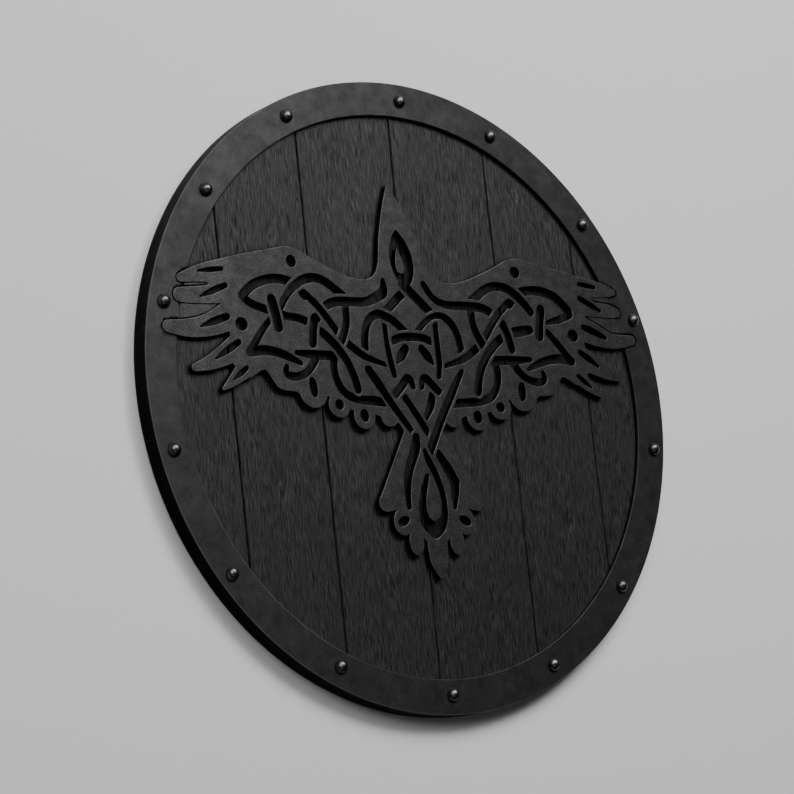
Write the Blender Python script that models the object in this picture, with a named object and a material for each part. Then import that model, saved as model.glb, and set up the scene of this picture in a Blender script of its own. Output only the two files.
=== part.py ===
"""Round plank shield with a riveted rim and a knotwork raven, lying on its back.

Metres, +Z out of the face. The origin is the middle of the back, +Y points
to the raven's beak and +X to the wing on the right of someone who faces it.
"""

import math

import bmesh
import bpy
from mathutils import Matrix, Vector
from mathutils.geometry import delaunay_2d_cdt

MM = 0.001
GAP = 0.3                     # clearance between neighbouring pieces, mm

# The shield's driving sizes, mm
RADIUS = 305.0                # outside of the rim
PLANK_THICK = 15.0
RIM_THICK = 4.3               # flange that lies on the planks
RIM_WIDTH = 33.5              # flange, from its inner edge to the outside
SKIRT_THICK = 2.5             # band round the planks' ends
RIM_CHAMFER = 0.8
RIM_SIDES = 64
RAVEN_THICK = 6.0

# Heights above the floor that follow from them, mm
ON_PLANKS = PLANK_THICK + GAP
RIM_TOP = ON_PLANKS + RIM_THICK
ON_RIM = RIM_TOP + GAP
RAVEN_TOP = ON_PLANKS + RAVEN_THICK

# Seams between the planks: distance from the middle, mm, and lean, mm per mm
SEAMS = [(-211, 0.004), (-112, 0.012), (-4, 0.027), (113, 0.012), (214, 0.006)]

# Rivets, set by hand: each one's angle from +X, degrees, and distance from the middle
RIVETS = [(86.9, 288), (64.6, 289), (37.7, 290.3), (16.2, 293), (-9.9, 291.3), (-40.2, 290),
          (-64.8, 288.9), (-90.5, 286), (-116.4, 286), (-144.1, 290.2), (-168.3, 289.2),
          (164.6, 289), (140.2, 287.3), (114.8, 288.4)]
RIVET_HEAD = 6.6              # radius
RIVET_DOME = 5.8              # height of the head
RIVET_SHANK = 2.5             # radius
RIVET_HOLE = 3.0              # radius
RIVET_SIDES = 8

# The raven's place on the face
RAVEN_MIDDLE = (-2.4, -0.5)
RAVEN_TURN = math.radians(0.55)
HEAD_LEAN = math.radians(4.6)  # the head leans to the left above the neck
NECK_HEIGHT = 108.0
WING_SHIFT = 3.5              # the wings sit this much right of the breast's middle
WING_EASE = (60.0, 150.0)     # distance from the axis over which the shift comes in
STRAND = 9.0                  # width of a strand of the knot
RIB = 3.0                     # metal left beside a strand that passes over
CURVE_SLACK = 0.31            # how far a facet may leave the curve


def linked(name, mesh, colour, roughness, metallic):
    """Put a mesh in the scene under its name, with a material of its own."""
    material = bpy.data.materials.new(name)
    material.use_nodes = True
    shader = material.node_tree.nodes["Principled BSDF"]
    shader.inputs["Base Color"].default_value = (*colour, 1.0)
    shader.inputs["Roughness"].default_value = roughness
    shader.inputs["Metallic"].default_value = metallic
    mesh.materials.append(material)
    body = bpy.data.objects.new(name, mesh)
    bpy.context.collection.objects.link(body)
    return body


def cutter(name, mesh):
    """Put a tool body in the scene: it shapes others and isn't a piece."""
    body = bpy.data.objects.new(name, mesh)
    bpy.context.collection.objects.link(body)
    body.hide_render = True
    body.display_type = "WIRE"
    return body


def combined(body, tool, operation):
    """Add a tool's shape to a body, or take it out."""
    boolean = body.modifiers.new(tool.name, "BOOLEAN")
    boolean.operation = operation
    boolean.solver = "EXACT"
    boolean.object = tool


def finished(name, shape):
    """Turn a bmesh that was drawn in millimetres into a mesh in metres."""
    bmesh.ops.scale(shape, vec=(MM, MM, MM), verts=shape.verts)
    bmesh.ops.recalc_face_normals(shape, faces=shape.faces)
    mesh = bpy.data.meshes.new(name)
    shape.to_mesh(mesh)
    shape.free()
    return mesh


def circle(radius, sides, middle=(0.0, 0.0)):
    """Points round a circle, anticlockwise."""
    turns = [2 * math.pi * i / sides for i in range(sides)]
    return [(middle[0] + radius * math.cos(a), middle[1] + radius * math.sin(a)) for a in turns]


def add_turned(shape, profile, sides, middle=(0.0, 0.0)):
    """Turn a profile of (radius, height) points about a vertical axis."""
    rings = []
    for radius, height in profile:
        if radius == 0:
            rings.append([shape.verts.new((*middle, height))])
        else:
            ring = circle(radius, sides, middle)
            rings.append([shape.verts.new((x, y, height)) for x, y in ring])
    on_axis = profile[0][0] == 0
    pairs = list(zip(rings, rings[1:] if on_axis else rings[1:] + rings[:1]))
    for upper, lower in pairs:
        for i in range(sides):
            j = (i + 1) % sides
            corners = [upper[i % len(upper)], lower[i % len(lower)]]
            corners += [lower[j % len(lower)], upper[j % len(upper)]]
            shape.faces.new(list(dict.fromkeys(corners)))


def add_slab(shape, outline, low, high):
    """Extrude one closed outline between two heights."""
    lower = [shape.verts.new((x, y, low)) for x, y in outline]
    upper = [shape.verts.new((x, y, high)) for x, y in outline]
    shape.faces.new(lower[::-1])
    shape.faces.new(upper)
    for i in range(len(outline)):
        j = (i + 1) % len(outline)
        shape.faces.new((lower[i], lower[j], upper[j], upper[i]))


def clipped(outline, seam, side):
    """Keep the part of an outline on one side of a seam (-1 left, +1 right)."""
    place, lean = seam
    depth = [side * (x - place - lean * y) - GAP / 2 for x, y in outline]
    kept = []
    for i, (x, y) in enumerate(outline):
        j = (i + 1) % len(outline)
        if depth[i] >= 0:
            kept.append((x, y))
        if (depth[i] >= 0) != (depth[j] >= 0):
            t = depth[i] / (depth[i] - depth[j])
            kept.append((x + t * (outline[j][0] - x), y + t * (outline[j][1] - y)))
    return kept


# --- curves and shapes in the plane, millimetres -----------------------------

def smooth(route, steps=12):
    """Points along a smooth curve through a few control points."""
    first = (2 * route[0][0] - route[1][0], 2 * route[0][1] - route[1][1])
    last = (2 * route[-1][0] - route[-2][0], 2 * route[-1][1] - route[-2][1])
    knots = [Vector(p) for p in [first, *route, last]]
    points = []
    for a, b, c, d in zip(knots, knots[1:], knots[2:], knots[3:]):
        for i in range(steps):
            t = i / steps
            points.append(0.5 * (2 * b + t * (c - a) + t * t * (2 * a - 5 * b + 4 * c - d)
                                 + t ** 3 * (3 * b - a - 3 * c + d)))
    return points + [knots[-2]]


def thinned(points, slack=CURVE_SLACK):
    """Drop the points that a straight facet already comes close enough to."""
    first, last = points[0], points[-1]
    along = last - first
    far, worst = 0, slack
    for i in range(1, len(points) - 1):
        out = points[i] - first
        if along.length > 0:
            share = min(1.0, max(0.0, out.dot(along) / along.length_squared))
            out = out - share * along
        if out.length > worst:
            far, worst = i, out.length
    if far == 0:
        return [first, last]
    return thinned(points[:far + 1], slack)[:-1] + thinned(points[far:], slack)


def ribbon(route, widths, round_ends=(True, True), margin=0.0):
    """Outline of a strand: a smooth route with a width at each control point."""
    steps = 12
    line = smooth(route, steps)
    if isinstance(widths, (int, float)):
        widths = [widths] * len(route)
    left, right = [], []
    for i, point in enumerate(line):
        before, after = line[max(i - 1, 0)], line[min(i + 1, len(line) - 1)]
        ahead = (after - before).normalized()
        span, part = divmod(i, steps)
        following = widths[min(span + 1, len(widths) - 1)]
        half = widths[span] / 2 + (following - widths[span]) / 2 * part / steps + margin
        across = Vector((-ahead.y, ahead.x)) * half
        left.append(point + across)
        right.append(point - across)
    outline = thinned(right) + end_cap(right[-1], left[-1], round_ends[1])
    outline += thinned(left[::-1]) + end_cap(left[0], right[0], round_ends[0])
    return [(p.x, p.y) for p in outline]


def end_cap(start, stop, rounded):
    """Points between the two corners of a strand's end, on a half circle."""
    if not rounded:
        return []
    middle, arm = (start + stop) / 2, (start - stop) / 2
    bend = Vector((-arm.y, arm.x))
    turns = [math.pi * i / 5 for i in range(1, 5)]
    return [middle + math.cos(a) * arm + math.sin(a) * bend for a in turns]


def oval(middle, wide, high, tilt=0.0, sides=12):
    """An ellipse, tilted by some degrees."""
    turn = math.radians(tilt)
    points = []
    for x, y in circle(1.0, sides):
        x, y = x * wide, y * high
        points.append((middle[0] + x * math.cos(turn) - y * math.sin(turn),
                       middle[1] + x * math.sin(turn) + y * math.cos(turn)))
    return points


def leaf(tip, root, width, point=1.6):
    """A slot that is narrow at its tip and rounded at its root."""
    tip, root = Vector(tip), Vector(root)
    near = root + (tip - root).normalized() * width / 2
    return ribbon([tip, tip.lerp(near, 0.5), near], [point, 1.15 * width, width], (False, True))


def blade(half_widths):
    """A shape symmetric about the axis, from half widths at some heights."""
    side = thinned(smooth([(x, y) for y, x in half_widths], 8))
    ring = [(p.x, p.y) for p in side] + [(-p.x, p.y) for p in side[::-1]]
    return [p for i, p in enumerate(ring) if Vector(p) != Vector(ring[i - 1])]


def leaning(points):
    """Lean what is above the neck."""
    slope = math.tan(HEAD_LEAN)
    return [(x - slope * max(0.0, y - NECK_HEIGHT), y) for x, y in points]


def flipped(points):
    """The same outline on the other wing."""
    return [(-x, y) for x, y in points[::-1]]


# --- the raven's outline -----------------------------------------------------

HEAD = [(202, 0.4), (201, 2), (192, 6.3), (183, 10.4), (171, 15), (152, 21.7), (140, 25.2),
        (128, 28), (117, 33), (111.5, 39), (108.6, 47), (106, 55), (80, 55)]
WING_TOP = [(30, 108), (46, 108.5), (61, 109), (76, 113), (92, 119.5), (107, 125.5),
            (122, 133), (138, 136.5), (160, 133), (183, 128), (213, 122), (230, 115)]
WING_ROOTS = [(230, 98), (217, 80), (212, 54), (212, 23), (196, 11)]
TRAILING = [(194, 11), (178.5, 18.8), (171.3, 10.8), (164.5, 2.3), (155, -0.6), (145, -1.2),
            (139.5, -5)]
LOBE_NOTCHES = [(108, -5), (83, -17.5), (53, -22), (28, -29.5), (23, -37), (0, -45)]
# fingers: route and widths; the wings differ in the first three
RIGHT_FINGERS = [
    ([(212, 111.3), (236, 109.8), (251, 108.3), (260, 107)], [22.6, 17.5, 12.5, 6]),
    ([(212, 91), (237, 88.6), (252, 87.4), (261, 86.4)], [20, 15, 14.2, 9.5]),
    ([(212, 68), (231, 61.9), (249, 57.4), (265, 57.4), (276.5, 58.8)], [26, 22.5, 16, 13, 9.5]),
]
LEFT_FINGERS = [
    ([(212, 110.5), (236, 107.3), (258, 102.7)], [23, 16.8, 8.8]),
    ([(212, 89.5), (237, 87.2), (261, 86.5)], [20, 16.8, 14]),
    ([(212, 67.5), (234, 59), (256, 56), (277, 57)], [27, 21, 17, 12]),
]
LOW_FINGERS = [
    ([(200, 42), (232, 26), (253, 19.5)], [26, 15.5, 7.5]),
    ([(200, 19), (214, 8), (225, 0.5)], [18, 11, 4]),
]
# webs between the first three fingers, as low as the rim that they run up to
RIGHT_WEBS = [
    [(229, 98), (230, 103), (241, 103.5), (256, 105.5), (266, 106), (268, 92), (256, 91),
     (240, 93)],
    [(217, 80), (222, 84), (237, 83.5), (256, 83), (268, 84), (276, 75), (276, 60), (258, 60),
     (249, 62), (239, 65), (230, 69), (222, 75)],
]
LEFT_WEBS = [
    [(227, 97), (240, 101.5), (266, 101), (268, 91), (240, 91), (231, 94.5)],
    [(214, 82), (237, 81.5), (268, 83), (276, 72), (274, 59), (256, 59.5), (240, 63.5),
     (226, 70.5), (214, 78)],
]
# lobes under the wing: middle and two radii
LOBES = [((125, 0.8), 17, 17), ((96, -12.5), 12.8, 12.5),
         ((67.5, -23), 12.8, 12.5), ((38, -22.5), 10.5, 10.5)]
TAIL = [(22.5, -36), (61.5, -102), (50, -113), (40, -111), (31, -124), (29, -133),
        (18, -136), (12.5, -142), (-12.5, -142)]
TAIL_LOBES = [((54, -105), 8.6, 8.6), ((36.5, -123), 11.5, 13), ((24, -142), 8.5, 13)]
TAIL_FEATHER = [(-130, 12.5), (-145, 11.6), (-157, 11), (-166, 8.5), (-177, 1)]


def raven_outline():
    """The overlapping shapes whose union is the bird."""
    top = [(p.x, p.y) for p in thinned(smooth(WING_TOP, 6))]
    under = [(p.x, p.y) for p in thinned(smooth(TRAILING, 6))]
    wing = [(0, 108)] + top + WING_ROOTS + under + LOBE_NOTCHES
    shapes = [wing, TAIL[:-1] + [(0, -142), (0, -36)]]
    shapes += [ribbon(route, widths) for route, widths in LOW_FINGERS]
    shapes += [oval(middle, wide, high, sides=20) for middle, wide, high in LOBES]
    shapes += [oval(middle, wide, high, sides=16) for middle, wide, high in TAIL_LOBES]
    both = shapes + [flipped(shape) for shape in shapes]
    both += [ribbon(route, widths) for route, widths in RIGHT_FINGERS]
    both += [flipped(ribbon(route, widths)) for route, widths in LEFT_FINGERS]
    return both + [leaning(blade(HEAD)), blade(TAIL_FEATHER)]


# --- the knot: strands, and which ones each passes under ----------------------

class Strand:
    """One strand of the knot, cut right through the plate."""

    def __init__(self, name, route, width=STRAND, under=(), ends=(True, True)):
        self.name = name
        self.under = under
        self.outline = ribbon(route, width, ends)
        self.margin = ribbon(route, width, ends, RIB)

    def mirrored(self):
        """The same strand in the other wing."""
        twin = Strand.__new__(Strand)
        twin.name = self.name.replace("right", "left")
        twin.under = [other.replace("right", "left") for other in self.under]
        twin.outline = flipped(self.outline)
        twin.margin = flipped(self.margin)
        return twin


def wing_strands():
    """The strands that are alike in both wings, as they run in the right one."""
    return [
        Strand("wrist right", [(192, 35), (176, 37), (160, 34.8), (146, 30), (135.5, 25.5)],
               [9, 9.5, 8.8, 7.5, 4]),
        Strand("diagonal right", [(130, 98), (111, 83), (99, 70), (89, 57), (79, 47), (69, 40),
                                  (57, 33.2), (30, 25)],
               [7.5, 7.5, 7.5, 8, 8, 8, 7.2, 3.8], under=["arch right", "fork right", "stem right"]),
        Strand("feather right", [(114, 60), (102, 52), (90, 41), (81, 29), (75, 16), (71.5, 2.5)],
               under=["bar right"]),
        Strand("fork right", [(75, 82), (75.5, 70), (79, 58), (86, 46), (94, 35), (97.5, 23),
                              (95, 9), (87, -2), (74, -7), (58, -8.5), (36, -10)], 8.5,
               under=["feather right", "breast right"]),
        Strand("shelf right", [(139.5, 35.5), (120, 34), (98, 33.5)], [5, 9, 9],
               under=["feather right"]),
        Strand("hook right", [(118, 31), (123.5, 23.5), (129.5, 18), (136, 14.6), (145, 12.8),
                              (152, 14.3), (154.3, 18.3), (153, 22.5)],
               [9, 8, 7.5, 7.8, 8.2, 7.5, 6.5, 5]),
    ]


def right_strands():
    """The strands of the right wing that differ from those of the left one."""
    return [
        Strand("cross right", [(160.5, 86), (157, 73), (154.5, 59)], 10),
        Strand("arch right", [(76, 91), (86, 98), (97, 104.5), (108, 107.5), (120, 106), (131, 100),
                              (140.5, 91.3), (150, 80.3)], [9, 9, 9, 9, 9, 9.3, 9, 8],
               under=["cross right", "shoulder right"], ends=(True, False)),
        Strand("arch foot right", [(157, 70.6), (167.3, 61.3), (179.2, 49.2), (191.5, 34.8)],
               [4, 6.8, 7.8, 8.5], under=["cross right"]),
        Strand("loop top right", [(122, 90), (134, 101), (150, 104.8), (166, 103.8), (181.5, 98.2),
                                  (196, 85.5)], [9, 9, 9.3, 10.2, 10.6, 10], under=["arch right"]),
        Strand("loop foot right", [(197, 82), (184.5, 77.2), (172, 74.3), (160, 71.8)], [8, 8, 6, 3],
               under=["cross right"]),
        Strand("loop end right", [(143.3, 65.2), (132.3, 63.4), (116, 60.4)], [9, 10.6, 10.4],
               under=["bar right"]),
        Strand("shoulder right", [(21.5, 106.5), (24.5, 101.5), (28.3, 96), (34.2, 91), (43, 87.4),
                                  (56, 86.2), (80, 86), (92, 84), (103, 78), (111, 69)],
               [6.5, 7, 7, 7.2, 7.8, 8.6, 9, 9, 9, 9], under=["diagonal right"]),
        Strand("bar right", [(111.5, 70), (116, 58), (118.7, 45)], 8.5, under=["diagonal right"]),
        Strand("hump right", [(5.5, 57.8), (16.2, 67.9), (27.6, 74.5), (38, 75.8), (48, 70),
                              (54.5, 59), (57.2, 45), (57, 34)],
               [6.8, 6.1, 5.6, 7, 8.5, 8.5, 8.5, 8.5], under=["bow", "diagonal right"]),
        Strand("stem right", [(30.2, 76), (29.3, 57), (29, 31), (26.5, 16.5)], [6.5, 6.5, 7, 6],
               under=["hump right"]),
    ]


def left_strands():
    """The strands of the left wing that differ, laid out as if they were on the right."""
    return [
        Strand("cross right", [(161.7, 85.5), (159, 73), (157.2, 59.3)], 9.8),
        Strand("arch right", [(76, 91), (86, 98), (97, 104.5), (108, 107.5), (120, 106),
                              (131.3, 100.4), (142.8, 90.9), (152.5, 77.6), (158, 70)],
               [9, 9, 9, 9, 9, 8.5, 7.4, 6.5, 6], under=["cross right", "shoulder right"]),
        Strand("arch foot right", [(158, 72.5), (169.3, 62.8), (180.3, 50.3), (192, 35)],
               [5, 5.8, 7, 8.5], under=["cross right"]),
        Strand("loop top right", [(122, 90), (134, 101), (150, 105), (166, 103.5), (181, 98),
                                  (194, 88)], under=["arch right"]),
        Strand("loop foot right", [(194, 87), (184, 80), (171, 76), (157, 73), (146, 69.5),
                                   (134, 68.5), (114, 63)], 8,
               under=["cross right", "bar right"]),
        Strand("shoulder right", [(26.8, 108.5), (26.8, 103), (29, 96), (38, 91.3), (48, 87),
                                  (63, 86), (80, 86), (92, 84), (103, 78), (111, 69)],
               [4.5, 8, 11.5, 9.8, 9, 9, 9, 9, 9, 9], under=["diagonal right"]),
        Strand("bar right", [(113.6, 69), (117, 58), (119.3, 45)], 9, under=["diagonal right"]),
        Strand("hump right", [(6, 57), (17, 67), (28, 73), (38, 75), (48, 70), (54.5, 59),
                              (57.2, 45), (57, 34)], 8.5,
               under=["bow", "diagonal right"]),
        Strand("stem right", [(31.5, 78), (31, 49), (29, 31), (26.5, 16.5)], [5.5, 5.8, 6.8, 6],
               under=["hump right"]),
    ]


def breast_strands():
    """The strands about the middle, where left and right pass over in turn."""
    return [
        Strand("bow", [(-30, 48), (-14, 53), (0, 54), (14, 53), (30, 48)], 8,
               under=["stem right", "stem left"]),
        Strand("breast right", [(55, 22), (46, 10), (37, -3.5), (24, -23), (11, -45), (4, -57)],
               [5, 8, 9, 9, 9, 9], under=["loop"]),
        Strand("breast left", [(-56, 21), (-43, 3), (-30.4, -15.3), (-16.5, -33.7), (-12.8, -38.8)],
               [9, 8.8, 7.8, 6.6, 5.4], under=["tail left"]),
        Strand("m right", [(26.3, -0.3), (19, 6.6), (10.5, 14), (6, 12), (4, 6)],
               [7.8, 8.5, 8.5, 7.5, 6], ends=(False, True)),
        Strand("m left", [(-34, -7), (-20, 6), (-12.5, 13.5), (-8, 12), (-6, 6)],
               [8, 8.5, 8.5, 7.5, 6], under=["breast left"]),
        Strand("vee left", [(-21, 0.5), (-10.4, -14.5), (-1.7, -27.9), (8, -43)], 7.6,
               under=["m left", "breast right"]),
        Strand("vee right", [(17, 1), (12, -12), (3, -26)], [8, 9, 6],
               under=["m right", "vee left"]),
        Strand("neck right", [(-4, 106), (7, 96), (15, 88.5), (27, 77)], 10, under=["hump right"]),
        Strand("neck left", [(2, 102), (-13, 90.5), (-29, 77)], under=["neck right", "hump left"]),
    ]


def tail_strands():
    """The twist and the drop-shaped loop in the tail."""
    return [
        Strand("tail left", [(-9.5, -42.5), (-11.4, -50), (-15, -58.5), (-20.9, -69), (-26, -84),
                             (-28, -97), (-28, -109)], [8, 11.2, 11, 10.4, 8.8, 7.2, 5.5]),
        Strand("tail right", [(14, -58), (22.3, -71.5), (30.2, -87.4)], [8, 11, 13],
               under=["breast right", "loop"], ends=(True, False)),
        Strand("tail right foot", [(29.9, -83.2), (27.8, -98), (26.3, -110)], [12, 9.5, 4],
               under=["loop"], ends=(False, True)),
        Strand("loop", [(-1.7, -55), (1, -63.5), (7, -76), (12.3, -92), (14, -106), (12, -118),
                        (7, -126.5), (-1.3, -131.3)], [4, 7.6, 7.5, 7, 6.6, 8.5, 12.5, 16]),
        Strand("loop back", [(-1.3, -131.3), (-10.5, -123), (-12.2, -111), (-11, -102),
                             (-8.6, -94), (-2.5, -79.6)], [15, 13, 9.2, 8.2, 7.8, 5]),
    ]


# openings: middle, two radii and tilt
HOLES = [((134, 122.5), 5.8, 5.8, 0), ((198, 61), 6.6, 6.2, 0), ((124.5, 3.3), 4.6, 9.8, -6),
         ((96, -12.5), 5.0, 5.0, 0), ((67.5, -22.5), 5.2, 6.2, 0), ((36.5, -122.5), 7.4, 4.3, -26)]
# quill slots: tip, root, width and, on the right where they are blunter, width of the tip
RIGHT_QUILLS = [((237.4, 111.6), (213, 114.2), 4.6, 3.4), ((240.5, 86.9), (210.5, 100.6), 5.6, 3.4),
                ((243, 59.6), (210.5, 70.8), 6.8, 4.0), ((227.2, 29.7), (202, 46), 5.6, 2.6)]
LEFT_QUILLS = [((239, 109.5), (211, 112.5), 4.2), ((240, 85.5), (209, 97.5), 5.2),
               ((243, 57.5), (210, 68.5), 6.2), ((231, 27.5), (201, 45.5), 5.6)]
LOW_QUILL = ((214, 8.5), (196, 21.5), 4.4)
BREAST_LEAF = ((22.5, 27.5), (7, 46), 8.5)
EYE_OPENING = [(158.5, 0.5), (152, 6), (145, 10), (136, 13), (127, 13.5), (118, 12.3),
               (110, 9), (103, 4.5)]
EYE_DROP = [(140, 0.4), (135, 2.6), (128, 4.4), (121, 4.9), (117, 3.4), (115.5, 0.4)]
EYE_SHIFT = -3.0              # the drop sits a little left of the opening's axis


def openings():
    """Holes, quill slots and the eye's opening."""
    shapes = [oval(middle, wide, high, tilt) for middle, wide, high, tilt in HOLES]
    shapes += [leaf(*LOW_QUILL), leaf(*BREAST_LEAF)]
    both = shapes + [flipped(shape) for shape in shapes]
    both += [leaf(*quill) for quill in RIGHT_QUILLS]
    both += [flipped(leaf(*quill)) for quill in LEFT_QUILLS]
    return both + [leaning(blade(EYE_OPENING))]


def inside(point, outline):
    """Whether an outline winds round a point."""
    x, y = point
    turns = 0
    for i, (x1, y1) in enumerate(outline):
        x0, y0 = outline[i - 1]
        if (y0 > y) != (y1 > y) and x < x0 + (y - y0) / (y1 - y0) * (x1 - x0):
            turns += 1 if y1 > y0 else -1
    return turns != 0


class Region:
    """An outline with its box, so that most points are told apart quickly."""

    def __init__(self, outline):
        self.outline = outline
        self.low = (min(x for x, y in outline), min(y for x, y in outline))
        self.high = (max(x for x, y in outline), max(y for x, y in outline))

    def holds(self, point):
        """Whether a point is in the region."""
        if not (self.low[0] <= point[0] <= self.high[0]):
            return False
        if not (self.low[1] <= point[1] <= self.high[1]):
            return False
        return inside(point, self.outline)


def is_metal(point, bird, strands, margins, holes):
    """Whether the plate is there: in the bird, and in no strand or opening."""
    if not any(region.holds(point) for region in bird):
        return False
    if any(region.holds(point) for region in holes):
        return False
    for strand, region in strands:
        if region.holds(point):
            covered = any(margins[over].holds(point) for over in strand.under)
            if not covered:
                return False
    return True


def filled(outlines, keep):
    """Triangles over some outlines, for each stretch whose middle is to be kept."""
    points, edges = [], []
    for outline in outlines:
        start = len(points)
        points += [Vector(p) for p in outline]
        count = len(outline)
        edges += [(start + i, start + (i + 1) % count) for i in range(count)]
    corners, _, triangles, _, _, _ = delaunay_2d_cdt(points, edges, [], 0, 1e-4)
    kept = []
    for triangle in triangles:
        middle = sum((corners[i] for i in triangle), Vector((0, 0))) / 3
        if keep(middle):
            kept.append(triangle)
    return corners, kept


def borders_of(corners, triangles):
    """The closed lines round a set of triangles."""
    sides = {(t[i], t[(i + 1) % 3]) for t in triangles for i in range(3)}
    onward = {}
    for a, b in sorted(sides):
        if (b, a) not in sides:
            onward[a] = b
    borders = []
    while onward:
        start = here = min(onward)
        border = []
        while here != start or not border:
            border.append(corners[here])
            here = onward.pop(here)
        borders.append(border)
    return borders


def straightened(border):
    """Drop points that nearly meet, and points on a straight edge."""
    spaced = [p for i, p in enumerate(border) if (p - border[i - 1]).length > 0.15]
    kept = []
    for i, point in enumerate(spaced):
        before = kept[-1] if kept else spaced[-1]
        after = spaced[(i + 1) % len(spaced)]
        along = (after - before).normalized()
        out = point - before
        if abs(along.x * out.y - along.y * out.x) > 0.03 or out.dot(along) < 0:
            kept.append(point)
    return kept


def raven_plan():
    """The borders of the bird: its outline, and each opening through it."""
    strands = wing_strands() + right_strands()
    strands += [strand.mirrored() for strand in wing_strands() + left_strands()]
    strands += breast_strands() + tail_strands()
    margins = {strand.name: Region(strand.margin) for strand in strands}
    slots = [(strand, Region(strand.outline)) for strand in strands]
    bird = [Region(outline) for outline in raven_outline()]
    holes = [Region(outline) for outline in openings()]
    crossed = sorted({over for strand in strands for over in strand.under})

    outlines = [region.outline for region in bird + holes]
    outlines += [region.outline for strand, region in slots]
    outlines += [margins[name].outline for name in crossed]
    borders = borders_of(*filled(outlines, lambda p: is_metal(p, bird, slots, margins, holes)))
    return [straightened([settled(point) for point in border]) for border in borders]


def settled(point):
    """Move what is out on a wing a little to the right."""
    near, far = WING_EASE
    share = min(1.0, max(0.0, (abs(point.x) - near) / (far - near)))
    return Vector((point.x + WING_SHIFT * share, point.y))


def place_on_face(shape):
    """Turn the bird a little and move it to its place."""
    bmesh.ops.rotate(shape, verts=shape.verts, matrix=Matrix.Rotation(RAVEN_TURN, 3, "Z"))
    bmesh.ops.translate(shape, verts=shape.verts, vec=(*RAVEN_MIDDLE, 0))


def make_raven():
    """The bird: one plate, cut through, with its finger tips rebated over the rim."""
    borders = raven_plan()
    corners, triangles = filled(borders, lambda p: sum(inside(p, border) for border in borders) % 2 == 1)
    shape = bmesh.new()
    verts = [shape.verts.new((*corner, 0)) for corner in corners]
    faces = [shape.faces.new([verts[i] for i in triangle]) for triangle in triangles]
    raised = bmesh.ops.extrude_face_region(shape, geom=faces)
    upper = [v for v in raised["geom"] if isinstance(v, bmesh.types.BMVert)]
    bmesh.ops.translate(shape, verts=upper, vec=(0, 0, RAVEN_THICK))
    bmesh.ops.translate(shape, verts=shape.verts, vec=(0, 0, ON_PLANKS))
    place_on_face(shape)
    raven = linked("raven", finished("raven", shape), (0.03, 0.03, 0.032), 0.55, 0.4)
    combined(raven, make_webs(), "UNION")

    rebate = bmesh.new()
    inner = RADIUS - RIM_WIDTH - GAP
    add_turned(rebate, [(inner, ON_PLANKS - 5), (RADIUS + 5, ON_PLANKS - 5),
                        (RADIUS + 5, ON_RIM), (inner, ON_RIM)], RIM_SIDES)
    combined(raven, cutter("finger_rebate", finished("finger_rebate", rebate)), "DIFFERENCE")


def make_webs():
    """Low plates that fill the gaps between the finger tips of both wings."""
    shape = bmesh.new()
    for web in RIGHT_WEBS + [flipped(web) for web in LEFT_WEBS]:
        outline = [settled(Vector(point)) for point in web]
        add_slab(shape, outline[::-1], ON_PLANKS, RIM_TOP)
    place_on_face(shape)
    return cutter("finger_webs", finished("finger_webs", shape))


def make_eye():
    """The drop inside the eye's opening, a piece of its own."""
    shape = bmesh.new()
    drop = [(x + EYE_SHIFT, y) for x, y in leaning(blade(EYE_DROP))]
    add_slab(shape, drop[::-1], ON_PLANKS, RAVEN_TOP)
    place_on_face(shape)
    linked("raven_eye", finished("raven_eye", shape), (0.03, 0.03, 0.032), 0.55, 0.4)


# --- planks, rim and rivets --------------------------------------------------

def rivet_places():
    """Where the rivets go, mm."""
    polar = [(math.radians(turn), out) for turn, out in RIVETS]
    return [(out * math.cos(turn), out * math.sin(turn)) for turn, out in polar]


def make_rivet_drill():
    """The cutter for the rivet holes."""
    shape = bmesh.new()
    for middle in rivet_places():
        add_slab(shape, circle(RIVET_HOLE, RIVET_SIDES, middle), -5, RIM_TOP + 5)
    return cutter("rivet_drill", finished("rivet_drill", shape))


def make_planks(drill):
    """Six boards, side by side, cut to a disc that fits inside the rim's skirt."""
    disc = circle(RADIUS - SKIRT_THICK - GAP, RIM_SIDES)
    walls = [None, *SEAMS, None]
    for number, (left, right) in enumerate(zip(walls, walls[1:]), 1):
        outline = disc
        if left:
            outline = clipped(outline, left, 1)
        if right:
            outline = clipped(outline, right, -1)
        shape = bmesh.new()
        add_slab(shape, outline, 0, PLANK_THICK)
        name = f"plank_{number}"
        plank = linked(name, finished(name, shape), (0.022, 0.021, 0.021), 0.7, 0.0)
        combined(plank, drill, "DIFFERENCE")


def make_rim(drill):
    """Flat flange on the face, with a skirt round the planks' ends."""
    inner = RADIUS - RIM_WIDTH
    shape = bmesh.new()
    add_turned(shape, [(inner, ON_PLANKS), (inner, RIM_TOP - RIM_CHAMFER),
                       (inner + RIM_CHAMFER, RIM_TOP), (RADIUS - RIM_CHAMFER, RIM_TOP),
                       (RADIUS, RIM_TOP - RIM_CHAMFER), (RADIUS, 0),
                       (RADIUS - SKIRT_THICK, 0), (RADIUS - SKIRT_THICK, ON_PLANKS)], RIM_SIDES)
    rim = linked("rim", finished("rim", shape), (0.028, 0.028, 0.028), 0.5, 0.3)
    combined(rim, drill, "DIFFERENCE")


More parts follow.
